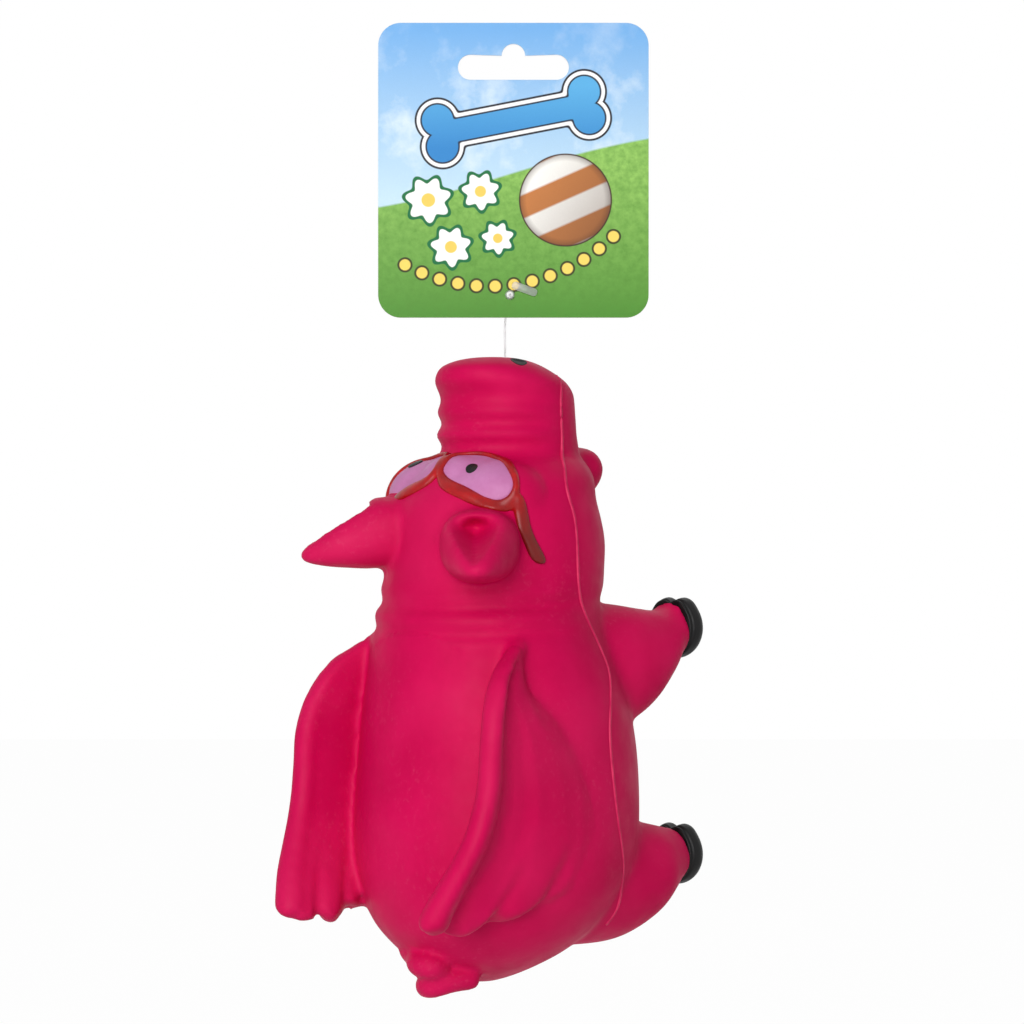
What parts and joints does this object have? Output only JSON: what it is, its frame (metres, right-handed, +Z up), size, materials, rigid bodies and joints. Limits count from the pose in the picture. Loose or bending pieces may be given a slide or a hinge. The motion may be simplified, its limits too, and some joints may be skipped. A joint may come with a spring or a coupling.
{
  "type": "squeaky dog toy",
  "caption": "Squeaky latex dog toy in the shape of a winged pig in spectacles, hung by its snout from a slotted header card on a swivelling tag pin.",
  "frame": {"origin": "top of the crest of the card's hang slot, halfway through the card's thickness, where a display peg bears", "axes": "+X to the right of the printed face, +Y from the printed face to the plain back, +Z up"},
  "size_m": [0.1245, 0.128, 0.2778],
  "materials": {
    "latex": "satin",
    "black_paint": "semi-gloss",
    "red_paint": "semi-gloss",
    "lilac_paint": "satin",
    "white_plastic": "semi-gloss",
    "reed_film": "gloss",
    "printed_card": "satin",
    "clear_nylon": "clear gloss"
  },
  "bodies": {
    "header_card": {"header_card": "printed_card"},
    "tag_pin": {"tag_pin": "clear_nylon"},
    "toy": {"snout": "latex", "head": "latex", "torso": "latex", "lower_lip": "latex", "right_ear": "latex", "left_ear": "latex", "right_wing": "latex", "left_wing": "latex", "right_front_leg": "latex", "left_front_leg": "latex", "right_hind_leg": "latex", "left_hind_leg": "latex", "right_front_hoof": "black_paint", "left_front_hoof": "black_paint", "right_hind_hoof": "black_paint", "left_hind_hoof": "black_paint", "curly_tail": "latex", "spectacle_frame": "red_paint", "right_lens": "lilac_paint", "left_lens": "lilac_paint", "right_pupil": "black_paint", "left_pupil": "black_paint", "right_nostril": "black_paint", "left_nostril": "black_paint", "squeaker_housing": "white_plastic", "reed_block": "white_plastic", "reed_clip": "white_plastic", "fibre_guard": "white_plastic"},
    "reed": {"squeaker_reed": "reed_film"}
  },
  "joints": [
    {"name": "pin_swing", "type": "hinge", "parent": "header_card", "child": "tag_pin", "pos_m": [-0.001, 0, -0.0723], "axis": [0, 1, 0], "range_deg": [-30, 30]},
    {"name": "toy_swivel", "type": "hinge", "parent": "tag_pin", "child": "toy", "pos_m": [-0.0024, 0.0018, -0.0903], "axis": [0, 0, 1], "continuous": true},
    {"name": "reed_flutter", "type": "hinge", "parent": "toy", "child": "reed", "pos_m": [0.01818, 0.02465, -0.20891], "axis": [0.7431, -0.6691, 0], "range_deg": [-3, 3], "stiffness_Nm_per_rad": 0.00002}
  ]
}
